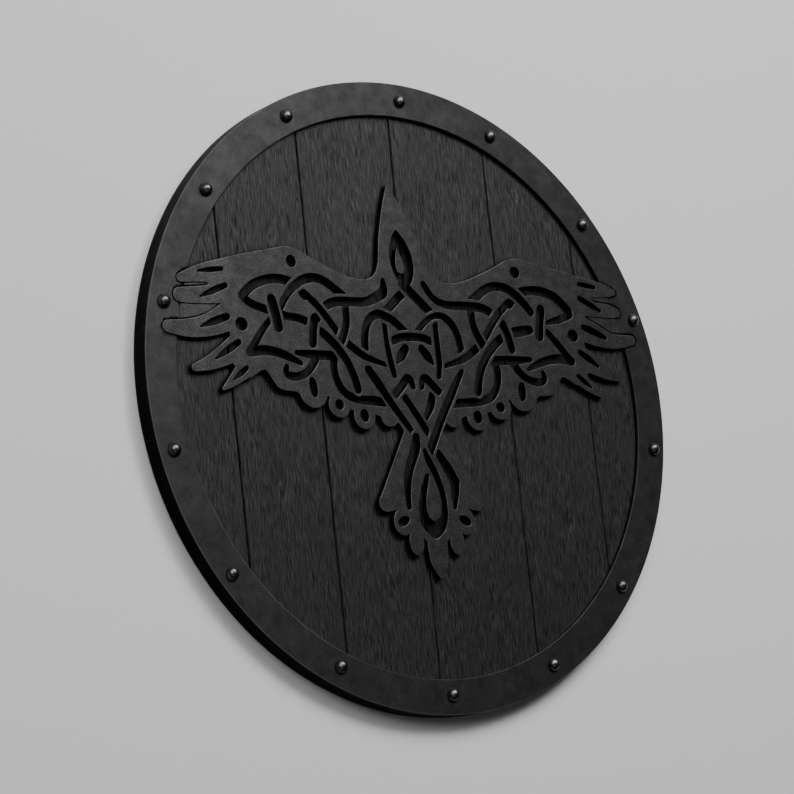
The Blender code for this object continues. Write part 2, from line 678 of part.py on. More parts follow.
def make_rivets():
    """Domed rivets through the rim and the planks, flush with the back."""
    top = ON_RIM + RIVET_DOME
    profile = [(0, top), (0.40 * RIVET_HEAD, top - 0.08 * RIVET_DOME),
               (0.72 * RIVET_HEAD, top - 0.31 * RIVET_DOME),
               (0.93 * RIVET_HEAD, top - 0.63 * RIVET_DOME), (RIVET_HEAD, ON_RIM),
               (RIVET_SHANK, ON_RIM), (RIVET_SHANK, 0), (0, 0)]
    for number, middle in enumerate(rivet_places(), 1):
        shape = bmesh.new()
        add_turned(shape, profile, RIVET_SIDES, middle)
        name = f"rivet_{number:02d}"
        linked(name, finished(name, shape), (0.05, 0.05, 0.05), 0.35, 0.8)


for old in list(bpy.data.objects):
    bpy.data.objects.remove(old, do_unlink=True)

rivet_drill = make_rivet_drill()
make_planks(rivet_drill)
make_rim(rivet_drill)
make_rivets()
make_raven()
make_eye()
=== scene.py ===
import math

import bmesh
import bpy
import numpy as np
from mathutils import Matrix, Vector, noise
from mathutils.geometry import delaunay_2d_cdt
from mathutils.kdtree import KDTree


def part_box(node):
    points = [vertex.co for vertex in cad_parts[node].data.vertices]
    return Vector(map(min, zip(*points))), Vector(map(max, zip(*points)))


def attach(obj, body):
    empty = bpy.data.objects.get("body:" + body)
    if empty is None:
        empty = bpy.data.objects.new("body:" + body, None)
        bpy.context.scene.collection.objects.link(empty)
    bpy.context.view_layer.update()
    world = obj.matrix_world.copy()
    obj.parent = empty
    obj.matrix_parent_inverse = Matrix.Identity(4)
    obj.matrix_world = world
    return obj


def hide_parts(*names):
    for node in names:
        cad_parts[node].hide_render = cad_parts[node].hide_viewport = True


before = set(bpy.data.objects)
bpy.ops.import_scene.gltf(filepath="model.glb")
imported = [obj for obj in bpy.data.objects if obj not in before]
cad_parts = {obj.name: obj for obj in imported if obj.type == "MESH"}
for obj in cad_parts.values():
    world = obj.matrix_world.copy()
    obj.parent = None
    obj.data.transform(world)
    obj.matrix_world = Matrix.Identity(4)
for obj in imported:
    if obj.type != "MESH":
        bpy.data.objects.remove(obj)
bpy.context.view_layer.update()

MM = 0.001

# ==== Room, light and camera ================================================
# The shield lies on its back on a pale studio floor. Broad soft lights stand
# behind it on the right, in the middle and on the left, a weak one in front and
# a small one near the rim; the camera looks down from the lower left.

FLOOR_GREY = 0.89
FLOOR_REACH = 14.0
FLOOR_DROP = 0.0004             # the floor lies just below the boards' back
CAMERA_PLACE = (-1.78303, -0.54107, 2.25098)
CAMERA_RIGHT = (0.79396, -0.11215, 0.59751)
CAMERA_UP = (-0.02431, 0.97617, 0.21554)
CAMERA_LENS = 139.9


def shader_of(name):
    """A new material and its surface shader."""
    material = bpy.data.materials.new(name)
    material.use_nodes = True
    return material, material.node_tree.nodes["Principled BSDF"]


floor_mesh = bpy.data.meshes.new("floor")
floor_mesh.from_pydata([(x * FLOOR_REACH, y * FLOOR_REACH, 0) for x, y in
                        ((-1, -1), (1, -1), (1, 1), (-1, 1))], [], [(0, 1, 2, 3)])
floor = bpy.data.objects.new("floor", floor_mesh)
floor.location.z = -FLOOR_DROP
bpy.context.collection.objects.link(floor)
floor_paint, shader = shader_of("floor_paint")
shader.inputs["Base Color"].default_value = (FLOOR_GREY, FLOOR_GREY, FLOOR_GREY, 1)
shader.inputs["Roughness"].default_value = 0.9
shader.inputs["Specular IOR Level"].default_value = 0.1
floor_mesh.materials.append(floor_paint)


def softbox(name, place, aim, wide, high, watts):
    """A rectangular studio light that points at a place."""
    lamp = bpy.data.lights.new(name, "AREA")
    lamp.shape = "RECTANGLE"
    lamp.size, lamp.size_y, lamp.energy = wide, high, watts
    stand = bpy.data.objects.new(name, lamp)
    stand.location = place
    towards = Vector(aim) - Vector(place)
    stand.rotation_euler = towards.to_track_quat("-Z", "Y").to_euler()
    bpy.context.collection.objects.link(stand)
    return stand


softbox("key_light", (1.7, 3.2, 3.6), (0, 0, 0), 2.0, 2.0, 108)
softbox("back_light", (-0.3, 3.4, 3.8), (0, 0, 0), 2.5, 2.0, 98)
softbox("left_light", (-2.6, 1.8, 4.2), (0, 0, 0), 2.5, 2.5, 72)
softbox("front_light", (-1.2, -2.2, 3.6), (0, 0, 0), 2.0, 2.0, 6)
softbox("sheen_light", (0.55, 0.75, 1.45), (-0.30, 0.15, 0), 0.5, 0.5, 5.2)

world = bpy.data.worlds.new("studio")
world.use_nodes = True
world.node_tree.nodes["Background"].inputs["Color"].default_value = (0.9, 0.95, 1.0, 1)
world.node_tree.nodes["Background"].inputs["Strength"].default_value = 0.006
bpy.context.scene.world = world

lens = bpy.data.cameras.new("camera")
lens.lens = CAMERA_LENS
lens.sensor_width = 36.0
camera = bpy.data.objects.new("camera", lens)
right, upward = Vector(CAMERA_RIGHT).normalized(), Vector(CAMERA_UP).normalized()
back = right.cross(upward)
turned = Matrix((right, upward, back)).transposed().to_4x4()
camera.matrix_world = Matrix.Translation(CAMERA_PLACE) @ turned
bpy.context.collection.objects.link(camera)
bpy.context.scene.camera = camera

# ==== Boards ================================================================
# Six sawn boards glued edge to edge and cut to a disc. The face is open-grained
# wood, brushed and stained black, with eased edges that leave a V at each seam;
# the back is plain.

BOARD_TOP = 15.0 * MM
BOARD_BACK = 0.15 * MM
BOARD_DISC = 302.2 * MM
# where each seam crosses the middle, mm, and how much it leans
SEAM_PLACES = [(-211, 0.004), (-112, 0.012), (-4, 0.027), (113, 0.012), (214, 0.006)]
SEAM_HALF = 0.25 * MM           # half of the gap between two boards
SEAM_EASE = 1.15 * MM           # width of the eased edge on each side
SEAM_DEPTH = 2.2 * MM
GRAIN_ACROSS = 1.05 * MM        # grid of the relief
BOARD_ROWS = 201
HOLE_RADIUS, HOLE_SIDES = 2.8 * MM, 24
HOLE_NEAR = 4 * MM              # a hole this near beside a board may still touch it
CUT_LOW, CUT_HIGH = -5 * MM, 30 * MM  # how far down and up the cuts go through
# depths of the brushed grain's parts, mm
BROAD_DEPTH, STREAK_DEPTH, FINE_DEPTH, CRACK_DEPTH = 0.06, 0.12, 0.12, 0.8
KNOT_RING, KNOT_RIPPLE = 0.5, 0.10
KNOT_STRETCH = 3.2              # how much longer than wide the grain bends round a knot
# place and size of each knot, mm
KNOTS = [(-168, -92, 5.0), (-150, 148, 4.0), (60, -212, 4.5), (171, -120, 4.0),
         (-58, -190, 3.5), (150, 205, 3.5), (-64, 226, 4.0)]


def wobble(x, y, z=0.0):
    """Smooth noise between about -1 and 1."""
    return noise.noise(Vector((x, y, z)))


def roll(x, y, z=0.0):
    """The same noise between about 0 and 1."""
    return 0.5 + 0.5 * wobble(x, y, z)


def grain_bend(x, y):
    """How far the grain is pushed sideways as it flows round the knots, metres."""
    push = 0.0
    for kx, ky, size in KNOTS:
        u, v = (x - kx * MM) / (size * MM), (y - ky * MM) / (size * KNOT_STRETCH * MM)
        push -= size * MM * 0.9 * u * math.exp(-0.5 * (u * u + v * v))
    return push


def grain_depth(x, y, board):
    """Depth of the brushed grain under the board's top, metres."""
    across = (x + grain_bend(x, y)) / MM
    along = y / MM
    lane = board * 7.0
    across += 1.6 * wobble(across * 0.05, along * 0.02, lane + 9.0)
    broad = roll(across * 0.05, along * 0.008, lane)
    streak = roll(across * 0.30, along * 0.022, lane + 2.0)
    fine = roll(across * 0.62, along * 0.055, lane + 4.0)
    patch = max(0.0, wobble(across * 0.03, along * 0.02, lane + 5.0) + 0.1)
    crack = max(0.0, wobble(across * 0.45, along * 0.035, lane + 6.0) - 0.42 + 0.40 * patch)
    depth = BROAD_DEPTH * broad + STREAK_DEPTH * streak + FINE_DEPTH * fine + CRACK_DEPTH * crack
    for kx, ky, size in KNOTS:
        reach = math.hypot((x / MM - kx), (y / MM - ky) / 1.6) / size
        if reach < 1.6:
            depth += KNOT_RING * math.exp(-6 * (reach - 0.9) ** 2)
            depth += KNOT_RIPPLE * math.cos(reach * 9)
    return max(0.0, depth) * MM


def wall_on_circle(a, b):
    """Where the line x = a + b y meets the disc: low and high y."""
    inner = max(0.0, a * a * b * b - (1 + b * b) * (a * a - BOARD_DISC ** 2))
    root = math.sqrt(inner)
    return (-a * b - root) / (1 + b * b), (-a * b + root) / (1 + b * b)


def make_board(number, left, right):
    """One board as a closed mesh: relief on top, plain sides and back."""
    has_left, has_right = left is not None, right is not None
    left = (left[0] * MM + SEAM_HALF, left[1]) if has_left else (-BOARD_DISC, 0.0)
    right = (right[0] * MM - SEAM_HALF, right[1]) if has_right else (BOARD_DISC, 0.0)
    width = right[0] - left[0]
    places = list(np.linspace(0, width, int(width / GRAIN_ACROSS)))
    places = [p for p in places if SEAM_EASE * 1.2 < p < width - SEAM_EASE * 1.2]
    edge = [0.0, 0.35 * SEAM_EASE, 0.7 * SEAM_EASE, SEAM_EASE]
    places = edge + places + [width - e for e in edge[::-1]]
    if not has_left:
        places = [0, 0.1 * MM, 0.4 * MM, 0.9 * MM] + places[4:]
    if not has_right:
        places = places[:-4] + [width - e for e in (0.9 * MM, 0.4 * MM, 0.1 * MM, 0)]
    grid = []
    for k, place in enumerate(places):
        share = place / width
        a = left[0] + share * width
        b = left[1] + share * (right[1] - left[1])
        low, high = wall_on_circle(a, b)
        column = []
        for row in range(BOARD_ROWS):
            y = low + (high - low) * row / (BOARD_ROWS - 1)
            x = a + b * y
            near_left = place if has_left else 1.0
            near_right = width - place if has_right else 1.0
            side = 1 if near_left < near_right else -1
            near = min(near_left, near_right)
            depth = grain_depth(x, y, number)
            if near < SEAM_EASE * 1.01:
                ragged = 1 + 0.35 * wobble(y * 60, side * 3.0 + number, 1.0)
                ragged += 0.2 * wobble(y * 300, number, 5.0)
                slope = max(0.0, 1 - near / SEAM_EASE)
                depth = depth * (1 - slope) + SEAM_DEPTH * ragged * slope ** 1.4
                inward = (0.10 + 0.16 * wobble(y * 35, number * 5.0 + side, 3.0)) * MM * slope
                x += side * max(0.0, inward)
            column.append((x, y, BOARD_TOP - depth))
        grid.append(column)
    columns = len(grid)
    verts = [p for column in grid for p in column]
    faces = []
    for k in range(columns - 1):
        for row in range(BOARD_ROWS - 1):
            i = k * BOARD_ROWS + row
            faces.append((i, i + BOARD_ROWS, i + BOARD_ROWS + 1, i + 1))
    rim = list(range(BOARD_ROWS - 1, 0, -1))
    rim += [k * BOARD_ROWS for k in range(columns - 1)]
    rim += [(columns - 1) * BOARD_ROWS + row for row in range(BOARD_ROWS - 1)]
    rim += [k * BOARD_ROWS + BOARD_ROWS - 1 for k in range(columns - 1, 0, -1)]
    centre = Vector(((left[0] + right[0]) / 2, 0))
    start = len(verts)
    for height, inset in ((BOARD_BACK + 0.7 * MM, 0.0), (BOARD_BACK, 0.7 * MM)):
        for i in rim:
            x, y, z = verts[i]
            out = Vector((x, y)) - centre
            scale = max(0.0, 1 - inset / max(0.02, abs(out.x)))
            verts.append((centre.x + out.x * scale, y * (1 - inset / BOARD_DISC), height))
    count = len(rim)
    for i in range(count):
        j = (i + 1) % count
        faces.append((rim[i], start + i, start + j, rim[j])[::-1])
        faces.append((start + i, start + count + i, start + count + j, start + j)[::-1])
    faces.append(tuple(start + count + i for i in range(count)))
    mesh = bpy.data.meshes.new(f"board_{number}")
    mesh.from_pydata(verts, [], faces)
    return tidy_mesh(mesh, 40)


def tidy_mesh(mesh, angle):
    """Merge doubled corners, face outwards, and shade smooth below an angle."""
    shape = bmesh.new()
    shape.from_mesh(mesh)
    bmesh.ops.remove_doubles(shape, verts=shape.verts, dist=1e-7)
    bmesh.ops.recalc_face_normals(shape, faces=shape.faces)
    shape.to_mesh(mesh)
    shape.free()
    for face in mesh.polygons:
        face.use_smooth = True
    mesh.set_sharp_from_angle(angle=math.radians(angle))
    return mesh


def placed(name, mesh, material, node):
    """Put a finished piece in the scene in place of its plain solid."""
    piece = bpy.data.objects.new(name, mesh)
    bpy.context.collection.objects.link(piece)
    if material:
        mesh.materials.clear()
        mesh.materials.append(material)
    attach(piece, "root")
    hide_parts(node)
    return piece


def node_of(tree, kind, **sockets):
    """A shader node with some input values set, by socket name."""
    node = tree.nodes.new(kind)
    for name, value in sockets.items():
        node.inputs[name.replace("_", " ")].default_value = value
    return node


def stretched_noise(tree, scale, offset, frequency, detail, rough=0.55, bend=0.0):
    """Noise over the object's own coordinates, stretched by a scale."""
    place = tree.nodes.new("ShaderNodeTexCoord")
    mapping = tree.nodes.new("ShaderNodeMapping")
    mapping.inputs["Location"].default_value = offset
    mapping.inputs["Scale"].default_value = scale
    tree.links.new(place.outputs["Object"], mapping.inputs["Vector"])
    texture = node_of(tree, "ShaderNodeTexNoise", Scale=frequency, Detail=detail, Roughness=rough,
                      Distortion=bend)
    tree.links.new(mapping.outputs["Vector"], texture.inputs["Vector"])
    return texture.outputs["Fac"]


def ramp(tree, source, stops):
    """A colour ramp over a value; each stop is (place, grey or colour)."""
    node = tree.nodes.new("ShaderNodeValToRGB")
    tree.links.new(source, node.inputs["Fac"])
    while len(node.color_ramp.elements) < len(stops):
        node.color_ramp.elements.new(0.5)
    for element, (place, colour) in zip(node.color_ramp.elements, stops):
        element.position = place
        if isinstance(colour, (int, float)):
            colour = (colour, colour, colour)
        element.color = (*colour, 1)
    return node.outputs["Color"]


def marked(tree, name):
    """The value that a mesh carries at its corners under a name."""
    node = tree.nodes.new("ShaderNodeAttribute")
    node.attribute_name = name
    return node.outputs["Fac"]


def mixed(tree, kind, amount, first, second):
    """Blend two colours; the amount is a number or a socket."""
    node = tree.nodes.new("ShaderNodeMixRGB")
    node.blend_type = kind
    for socket, value in zip(("Fac", "Color1", "Color2"), (amount, first, second)):
        if isinstance(value, bpy.types.NodeSocket):
            tree.links.new(value, node.inputs[socket])
        else:
            node.inputs[socket].default_value = value
    return node.outputs["Color"]


def bumped(tree, shader, height, strength, distance):
    """Roughen a surface by a height."""
    node = node_of(tree, "ShaderNodeBump", Strength=strength, Distance=distance)
    tree.links.new(height, node.inputs["Height"])
    tree.links.new(node.outputs["Normal"], shader.inputs["Normal"])


def stained_wood(number):
    """Black-stained board: short grain along Y with open pores, each of its own tone."""
    material, shader = shader_of(f"stained_wood_{number}")
    tree = material.node_tree
    seed = (number * 3.7, number * 1.3, 0.0)
    tone = 1.0 + 0.08 * wobble(number * 1.7, 0.3, 0.0)
    cloud = stretched_noise(tree, (26, 9, 26), seed, 1.0, 4)
    rough_patch = stretched_noise(tree, (60, 14, 60), seed[::-1], 1.0, 3)
    streaks = stretched_noise(tree, (420, 13, 420), seed, 1.0, 4, 0.55, 0.2)
    hairs = stretched_noise(tree, (1150, 75, 1150), seed, 1.0, 3, 0.6, 0.3)
    pores = stretched_noise(tree, (560, 20, 560), seed, 1.3, 2, 0.5, 0.2)
    open_pore = ramp(tree, pores, [(0.29, 0.0), (0.35, 1.0)])
    wood = ramp(tree, streaks, [(0.30, (0.0065 * tone, 0.0062 * tone, 0.0062 * tone)),
                                (0.52, (0.0096 * tone, 0.0091 * tone, 0.0091 * tone)),
                                (0.72, (0.0140 * tone, 0.0132 * tone, 0.0130 * tone))])
    wood = mixed(tree, "MULTIPLY", 0.9, wood, ramp(tree, cloud, [(0.3, (0.60, 0.61, 0.63)),
                                                                 (0.7, (1.38, 1.31, 1.31))]))
    hairy = ramp(tree, rough_patch, [(0.35, 0.45), (0.62, 0.95)])
    wood = mixed(tree, "MULTIPLY", hairy, wood, ramp(tree, hairs, [(0.40, 0.42), (0.60, 1.55)]))
    wood = mixed(tree, "MULTIPLY", 0.6, wood, open_pore)
    # painted shade: the boards are darker and less glossy inside the bird and close beside it
    shade_factor = ramp(tree, marked(tree, "painted_shade"), [(0.0, 1.0), (1.0, 0.38)])
    wood = mixed(tree, "MULTIPLY", 1.0, wood, shade_factor)
    tree.links.new(wood, shader.inputs["Base Color"])
    dull = mixed(tree, "MIX", 0.5, ramp(tree, streaks, [(0.3, 0.60), (0.7, 0.42)]),
                 ramp(tree, cloud, [(0.3, 0.54), (0.7, 0.46)]))
    tree.links.new(dull, shader.inputs["Roughness"])
    gloss = mixed(tree, "MIX", hairy, (0.42, 0.42, 0.42, 1),
                  ramp(tree, hairs, [(0.40, 0.18), (0.60, 0.74)]))
    gloss = mixed(tree, "MULTIPLY", 0.6, gloss, open_pore)
    gloss = mixed(tree, "MULTIPLY", 1.0, gloss, shade_factor)
    tree.links.new(gloss, shader.inputs["Specular IOR Level"])
    height = mixed(tree, "MIX", 0.6, ramp(tree, streaks, [(0.3, 0.0), (0.7, 1.0)]),
                   ramp(tree, hairs, [(0.3, 0.0), (0.7, 1.0)]))
    height = mixed(tree, "MULTIPLY", 0.8, height, open_pore)
    bumped(tree, shader, height, 0.6, 0.0005)
    return material


def bored(piece, places):
    """Drill the rivet holes through a piece."""
    shape = bmesh.new()
    for x, y in places:
        turns = [2 * math.pi * i / HOLE_SIDES for i in range(HOLE_SIDES)]
        rings = [[shape.verts.new((x + HOLE_RADIUS * math.cos(turn),
                                   y + HOLE_RADIUS * math.sin(turn), z)) for turn in turns]
                 for z in (CUT_LOW, CUT_HIGH)]
        shape.faces.new(rings[0][::-1])
        shape.faces.new(rings[1])
        for i in range(HOLE_SIDES):
            j = (i + 1) % HOLE_SIDES
            shape.faces.new((rings[0][i], rings[0][j], rings[1][j], rings[1][i]))
    cut_away(piece, shape)


def loose_body(name, shape):
    """A body that is still to become part of a piece, or to be taken out of one."""
    mesh = bpy.data.meshes.new(name)
    shape.to_mesh(mesh)
    shape.free()
    body = bpy.data.objects.new(name, mesh)
    bpy.context.collection.objects.link(body)
    return body


def cut_away(piece, shape):
    """Take a shape out of a piece for good."""
    bmesh.ops.recalc_face_normals(shape, faces=shape.faces)
    combined(piece, loose_body("tool", shape), "DIFFERENCE")


def joined(piece, other):
    """Make another body part of a piece for good."""
    combined(piece, other, "UNION")


def combined(piece, tool, operation):
    """Work a tool's shape into a piece and drop the tool."""
    boolean = piece.modifiers.new("tool", "BOOLEAN")
    boolean.operation = operation
    boolean.solver = "EXACT"
    boolean.object = tool
    depsgraph = bpy.context.evaluated_depsgraph_get()
    result = bpy.data.meshes.new_from_object(piece.evaluated_get(depsgraph))
    piece.modifiers.remove(boolean)
    piece.data = result
    bpy.data.objects.remove(tool, do_unlink=True)


RIVET_NODES = [f"rivet_{number:02d}" for number in range(1, 15)]
RIVET_PLACES = []
for node in RIVET_NODES:
    low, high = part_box(node)
    RIVET_PLACES.append(((low[0] + high[0]) / 2, (low[1] + high[1]) / 2))

boards = []
walls = [None, *SEAM_PLACES, None]
for number, (left, right) in enumerate(zip(walls, walls[1:]), 1):
    board = placed(f"stained_board_{number}", make_board(number, left, right),
                   stained_wood(number), f"plank_{number}")
    low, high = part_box(f"plank_{number}")
    here = [p for p in RIVET_PLACES if low[0] - HOLE_NEAR < p[0] < high[0] + HOLE_NEAR]
    bored(board, here)
    boards.append(board)

# ==== Rim ===================================================================
# A band of painted iron: a flat ring on the boards' face, with its edges eased,
# and a skirt that wraps the boards' ends. It is held by the rivets.

RIM_OUT, RIM_IN = 305.0, 271.5
RIM_LOW, RIM_HIGH = 15.3, 19.6
SKIRT_IN = 302.5
RIM_STEPS = 400
FLAT_IN, FLAT_OUT = RIM_IN + 1.3, RIM_OUT - 1.2  # the face's flat part, between its edges
EDGE_ZONE = 0.6                 # height and width of the zone of an edge
DENT = 0.16                     # unevenness of the face and of the skirt
HIGHLIGHT_PART = 0.86                # how close to the highlight side the inner edge starts to be rubbed and painted lighter
KEEN_FROM, KEEN_TO = 10.5, 24.0  # where the inner edge is left keen, degrees above the middle
HIGHLIGHT_SIDE = math.radians(219)   # where both edges are rubbed most and carry the most painted highlight

# radius and height of each corner, once round the section, mm
profile = [(RIM_IN, RIM_LOW), (RIM_IN, RIM_HIGH - 0.6), (RIM_IN + 0.08, RIM_HIGH - 0.3),
           (RIM_IN + 0.3, RIM_HIGH - 0.08), (RIM_IN + 0.6, RIM_HIGH), (FLAT_IN, RIM_HIGH)]
profile += [(FLAT_IN + (FLAT_OUT - FLAT_IN) * k / 10, RIM_HIGH) for k in range(1, 11)]
profile += [(RIM_OUT - 0.4, RIM_HIGH), (RIM_OUT - 0.12, RIM_HIGH - 0.12),
            (RIM_OUT, RIM_HIGH - 0.4), (RIM_OUT, RIM_HIGH - 0.9), (RIM_OUT, 15.3),
            (RIM_OUT, 10.2), (RIM_OUT, 5.1), (RIM_OUT, 0.8), (RIM_OUT - 0.25, 0.25),
            (RIM_OUT - 0.8, 0.0),
            (SKIRT_IN + 0.4, 0.0), (SKIRT_IN, 0.4), (SKIRT_IN, RIM_LOW)]
verts, faces, front, wear_highlight = [], [], [], []
for step in range(RIM_STEPS):
    turn = 2 * math.pi * step / RIM_STEPS
    c, s = math.cos(turn), math.sin(turn)
    toward = math.cos(turn - HIGHLIGHT_SIDE)
    keen = KEEN_FROM < math.degrees(math.asin(s)) < KEEN_TO
    for radius, height in profile:
        r, z = radius, height
        if keen and radius < RIM_IN + 0.5:
            r, z = RIM_IN + 0.2 * (radius - RIM_IN), max(height, min(RIM_HIGH, height + 0.5))
        if radius > RIM_OUT - EDGE_ZONE:
            r -= DENT * roll(4 * c, 4 * s, height * 0.05)
        if height > RIM_HIGH - EDGE_ZONE:
            z -= DENT * roll(radius * c * 0.018, radius * s * 0.018, 2.0)
        if radius < RIM_IN + 0.5 and not keen:
            r += 0.2 * roll(5 * c, 5 * s, 8.0)
        verts.append((r * c * MM, r * s * MM, z * MM))
        front.append(float(height > (RIM_HIGH - 0.5 if radius > FLAT_OUT else 17.5)))
        # edge wear, partly painted highlight: the rim's edges are painted lighter, most towards
        # the lower left
        rub_highlight = 0.0
        if radius > RIM_OUT - EDGE_ZONE and height > RIM_HIGH - 0.5:
            rub_highlight = 0.25 + 0.55 * max(0.0, toward)
        if RIM_IN < radius < RIM_IN + 1.0:
            rub_highlight = 0.8 * max(0.0, min(1.0, (toward - HIGHLIGHT_PART) * 10))
        wear_highlight.append(rub_highlight * (1 + 0.5 * wobble(18 * c, 18 * s, radius)))
count = len(profile)
for step in range(RIM_STEPS):
    here, onward = step * count, (step + 1) % RIM_STEPS * count
    for k in range(count):
        j = (k + 1) % count
        faces.append((here + k, here + j, onward + j, onward + k))
rim_mesh = bpy.data.meshes.new("rim_band")
rim_mesh.from_pydata(verts, [], faces)
for name, values in (("front", front), ("wear_highlight", wear_highlight)):
    rim_mesh.attributes.new(name, "FLOAT", "POINT").data.foreach_set("value", values)
tidy_mesh(rim_mesh, 50)

rim_paint, shader = shader_of("rim_paint")
tree = rim_paint.node_tree
cloud = stretched_noise(tree, (11, 11, 11), (1, 2, 3), 1.0, 5, 0.6)
blotch = stretched_noise(tree, (70, 70, 70), (7, 2, 3), 1.0, 4, 0.6)
grit = stretched_noise(tree, (620, 620, 620), (5, 1, 2), 1.0, 4, 0.65)
paint = ramp(tree, cloud, [(0.3, (0.0078, 0.0076, 0.0078)), (0.7, (0.0150, 0.0146, 0.0147))])
paint = mixed(tree, "MULTIPLY", 0.8, paint, ramp(tree, blotch, [(0.3, 0.55), (0.7, 1.5)]))
paint = mixed(tree, "MULTIPLY", 0.8, paint, ramp(tree, grit, [(0.35, 0.5), (0.65, 1.4)]))
# painted shade: off the front face, on the skirt and the inner wall, the paint is darkened and its
# gloss nearly taken away
rim_side_shade = marked(tree, "front")
# edge wear, partly painted highlight: rubbed edges are mixed toward a lighter grey
paint = mixed(tree, "MIX", marked(tree, "wear_highlight"), paint, (0.085, 0.082, 0.079, 1))
paint = mixed(tree, "MULTIPLY", 1.0, paint, ramp(tree, rim_side_shade, [(0.0, 0.12), (1.0, 1.0)]))
tree.links.new(paint, shader.inputs["Base Color"])
dull = mixed(tree, "MIX", 0.5, ramp(tree, cloud, [(0.3, 0.50), (0.7, 0.42)]),
             ramp(tree, blotch, [(0.3, 0.50), (0.7, 0.42)]))
tree.links.new(dull, shader.inputs["Roughness"])
gloss = mixed(tree, "MULTIPLY", 0.6, ramp(tree, blotch, [(0.3, 0.35), (0.7, 0.56)]),
              ramp(tree, grit, [(0.3, 0.7), (0.7, 1.1)]))
gloss = mixed(tree, "MULTIPLY", 1.0, gloss, ramp(tree, rim_side_shade, [(0.0, 0.05), (1.0, 1.0)]))
tree.links.new(gloss, shader.inputs["Specular IOR Level"])
bumped(tree, shader, mixed(tree, "MIX", 0.2, grit, blotch), 0.25, 0.00025)
rim_band = placed("rim_band", rim_mesh, rim_paint, "rim")
bored(rim_band, RIVET_PLACES)

# ==== Rivets ================================================================
# Forged iron rivets, one piece each: a domed head with small hammer facets, and
# a shank that runs through rim and boards and ends flush at the back.

HEAD_RADIUS, HEAD_HEIGHT, HEAD_SEAT = 6.6, 5.8, 19.9
HEAD_RINGS = 10
HEAD_DENT = 0.22                # depth of the hammer marks
SHANK_RADIUS = 2.5
RIVET_STEPS = 32

iron, shader = shader_of("rivet_iron")
tree = iron.node_tree
tarnish = stretched_noise(tree, (260, 260, 260), (2, 5, 1), 1.0, 4)
pits = stretched_noise(tree, (1500, 1500, 1500), (0, 1, 7), 1.0, 3)
tree.links.new(ramp(tree, tarnish, [(0.3, (0.090, 0.087, 0.085)), (0.7, (0.190, 0.185, 0.180))]),
               shader.inputs["Base Color"])
tree.links.new(ramp(tree, tarnish, [(0.3, 0.38), (0.7, 0.30)]), shader.inputs["Roughness"])
shader.inputs["Metallic"].default_value = 1.0
bumped(tree, shader, pits, 0.2, 0.0002)

ball = (HEAD_RADIUS ** 2 + HEAD_HEIGHT ** 2) / (2 * HEAD_HEIGHT)
for number, (node, (x, y)) in enumerate(zip(RIVET_NODES, RIVET_PLACES), 1):
    rings = []
    for k in range(1, HEAD_RINGS + 1):
        radius = HEAD_RADIUS * math.sin(math.pi / 2 * k / HEAD_RINGS)
        rings.append((radius, HEAD_SEAT + math.sqrt(ball ** 2 - radius ** 2) - ball + HEAD_HEIGHT))
    rings[-1] = (HEAD_RADIUS, HEAD_SEAT + 0.25)
    rings += [(HEAD_RADIUS - 0.2, HEAD_SEAT), (SHANK_RADIUS, HEAD_SEAT), (SHANK_RADIUS, 0.3),
              (SHANK_RADIUS - 0.3, 0.0)]
    shape = bmesh.new()
    crown = shape.verts.new((x, y, (HEAD_SEAT + HEAD_HEIGHT - 0.05) * MM))
    loops = []
    for radius, height in rings:
        loop = []
        for i in range(RIVET_STEPS):
            turn = 2 * math.pi * i / RIVET_STEPS
            px, py = radius * math.cos(turn), radius * math.sin(turn)
            dent = 0.0
            if height > HEAD_SEAT + 0.3:
                dent = HEAD_DENT * max(0.0, wobble(px * 0.35, py * 0.35, number * 3.0) + 0.1)
            loop.append(shape.verts.new((x + px * MM, y + py * MM, (height - dent) * MM)))
        loops.append(loop)
    foot = shape.verts.new((x, y, 0.0))
    for i in range(RIVET_STEPS):
        j = (i + 1) % RIVET_STEPS
        shape.faces.new((crown, loops[0][i], loops[0][j]))
        shape.faces.new((foot, loops[-1][j], loops[-1][i]))
        for upper, lower in zip(loops, loops[1:]):
            shape.faces.new((upper[i], lower[i], lower[j], upper[j]))
    mesh = bpy.data.meshes.new(f"forged_rivet_{number:02d}")
    shape.to_mesh(mesh)
    shape.free()
    placed(f"forged_rivet_{number:02d}", tidy_mesh(mesh, 40), iron, node)

# ==== Raven =================================================================
# One board, sawn out as a raven with spread wings and pierced with its knot,
# painted black. The cut edges are square with a small ease that handling has
# rubbed; the rubbed edges are painted lighter, most where they face the upper
# left, partly as a painted highlight. The side walls are darkened as painted
# shade. The finger tips thin out and are let into the rim, level with it, and
# webs fill the gaps between the first three fingers.

PLATE_LOW, PLATE_TOP = 15.3 * MM, 21.3 * MM
EASE = 0.4 * MM
EASE_STEPS = ((0, 0.15), (45, 1.0), (90, 0.75))  # angle round the ease, degrees, and wear with painted highlight
SHARP_TURN = math.radians(52)
BLUNT_TURN = math.radians(118)
SLOT_ROUND = 2.4 * MM           # rounding in the corners of a slot's end
CORNER_ROUND = 0.35 * MM        # rounding of the other sharp corners
SAME_CORNER, SAME_POINT = 0.12 * MM, 0.08 * MM  # points closer than this become one
POINT_SPACING = 1.5 * MM
FACE_SPACING = 4.5 * MM
TIP_DROP = 1.4 * MM             # how much lower the finger tips are than the wing
TIP_START, TIP_END = 228 * MM, 262 * MM
TIP_UNDER, POCKET_FLOOR = 18.9 * MM, 17.4 * MM
WEB_TOP = 19.6 * MM             # level of the solid's webs
WEB_UNDER = 1.5 * MM            # how far the webs run on under the fingers
WEB_END, TIP_SEAT = 271.35 * MM, 271.2 * MM  # distance from the middle where they meet the rim
BEYOND = 310 * MM               # a distance from the middle outside everything
CLOSED_IN, CLOSED_OUT = 271.7 * MM, 292 * MM  # where the rim closes round one fingertip
